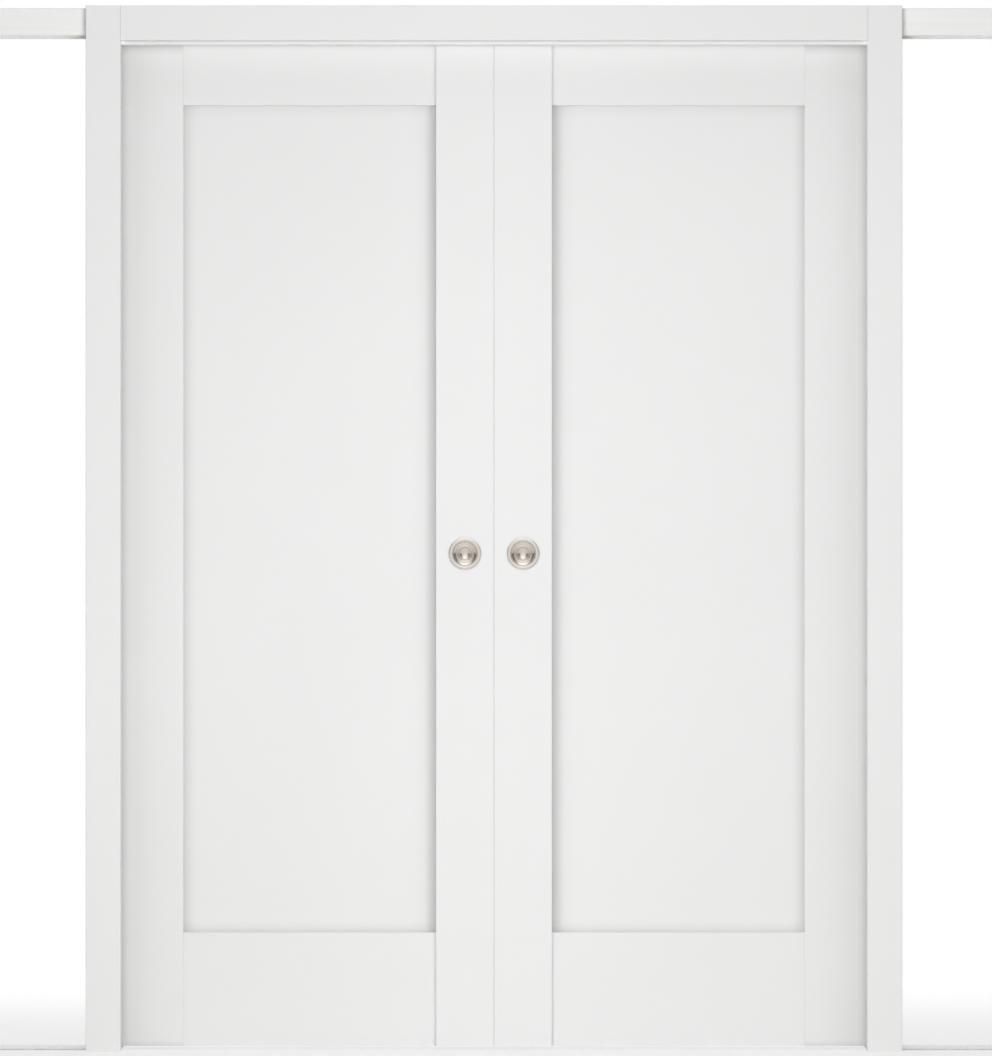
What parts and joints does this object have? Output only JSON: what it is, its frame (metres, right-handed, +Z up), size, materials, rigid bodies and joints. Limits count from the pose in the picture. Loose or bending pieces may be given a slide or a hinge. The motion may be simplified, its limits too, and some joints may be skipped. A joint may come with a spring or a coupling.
{
  "type": "double pocket door",
  "caption": "White panelled pocket doors with round cup pulls, hung from a top track and sliding into stud pockets beside a cased doorway.",
  "frame": {"origin": "on the floor, midway along the doorway and midway through the wall's thickness", "axes": "+X along the wall to the right, +Y to the rear through the wall, +Z up; the front faces -Y"},
  "size_m": [3.1192, 0.1464, 2.103],
  "materials": {
    "white_paint": "satin white paint",
    "white_primer": "matt white primer",
    "pine": "planed softwood",
    "aluminium": "anodised",
    "galvanised_steel": "galvanised",
    "plated_steel": "zinc plated",
    "zinc": "die cast",
    "nylon": "moulded",
    "rubber": "matt",
    "satin_nickel": "satin nickel"
  },
  "bodies": {
    "frame": {"front_head_casing": "white_paint", "front_head_jamb": "white_paint", "header_beam": "white_primer", "left_bumper": "rubber", "left_end_stud": "pine", "left_floor_guide": "nylon", "left_floor_plate": "galvanised_steel", "left_front_casing": "white_paint", "left_front_jamb": "white_paint", "left_front_mid_stud": "pine", "left_front_mouth_stud": "pine", "left_rear_casing": "white_paint", "left_rear_jamb": "white_paint", "left_rear_mid_stud": "pine", "left_rear_mouth_stud": "pine", "rear_head_casing": "white_paint", "rear_head_jamb": "white_paint", "right_bumper": "rubber", "right_end_stud": "pine", "right_floor_guide": "nylon", "right_floor_plate": "galvanised_steel", "right_front_casing": "white_paint", "right_front_jamb": "white_paint", "right_front_mid_stud": "pine", "right_front_mouth_stud": "pine", "right_rear_casing": "white_paint", "right_rear_jamb": "white_paint", "right_rear_mid_stud": "pine", "right_rear_mouth_stud": "pine", "track": "aluminium"},
    "left_leaf": {"left_meeting_stile": "white_paint", "left_back_stile": "white_paint", "left_top_rail": "white_paint", "left_bottom_rail": "white_paint", "left_panel": "white_paint", "left_front_pull": "satin_nickel", "left_rear_pull": "satin_nickel", "left_edge_pull": "satin_nickel", "left_inner_hanger_plate": "plated_steel", "left_outer_hanger_plate": "plated_steel", "left_hanger_bolts": "plated_steel", "left_inner_trolley": "zinc", "left_outer_trolley": "zinc"},
    "left_inner_wheel_pair": {"left_inner_wheels": "nylon"},
    "left_outer_wheel_pair": {"left_outer_wheels": "nylon"},
    "right_leaf": {"right_meeting_stile": "white_paint", "right_back_stile": "white_paint", "right_top_rail": "white_paint", "right_bottom_rail": "white_paint", "right_panel": "white_paint", "right_front_pull": "satin_nickel", "right_rear_pull": "satin_nickel", "right_edge_pull": "satin_nickel", "right_inner_hanger_plate": "plated_steel", "right_outer_hanger_plate": "plated_steel", "right_hanger_bolts": "plated_steel", "right_inner_trolley": "zinc", "right_outer_trolley": "zinc"},
    "right_inner_wheel_pair": {"right_inner_wheels": "nylon"},
    "right_outer_wheel_pair": {"right_outer_wheels": "nylon"}
  },
  "joints": [
    {"name": "left_slide", "type": "slide", "parent": "frame", "child": "left_leaf", "axis": [-1, 0, 0], "range_m": [0, 0.743]},
    {"name": "left_inner_wheel_spin", "type": "hinge", "parent": "left_leaf", "child": "left_inner_wheel_pair", "pos_m": [-0.05865, 0, 2.0648], "axis": [0, -1, 0], "continuous": true},
    {"name": "left_outer_wheel_spin", "type": "hinge", "parent": "left_leaf", "child": "left_outer_wheel_pair", "pos_m": [-0.69515, 0, 2.0648], "axis": [0, -1, 0], "continuous": true},
    {"name": "right_slide", "type": "slide", "parent": "frame", "child": "right_leaf", "axis": [1, 0, 0], "range_m": [0, 0.743]},
    {"name": "right_inner_wheel_spin", "type": "hinge", "parent": "right_leaf", "child": "right_inner_wheel_pair", "pos_m": [0.05865, 0, 2.0648], "axis": [0, 1, 0], "continuous": true},
    {"name": "right_outer_wheel_spin", "type": "hinge", "parent": "right_leaf", "child": "right_outer_wheel_pair", "pos_m": [0.69515, 0, 2.0648], "axis": [0, 1, 0], "continuous": true}
  ],
  "couplings": [
    {"joint": "left_inner_wheel_spin", "follows": "left_slide", "rad_per_m": 90.909},
    {"joint": "left_outer_wheel_spin", "follows": "left_slide", "rad_per_m": 90.909},
    {"joint": "right_inner_wheel_spin", "follows": "right_slide", "rad_per_m": 90.909},
    {"joint": "right_outer_wheel_spin", "follows": "right_slide", "rad_per_m": 90.909}
  ]
}
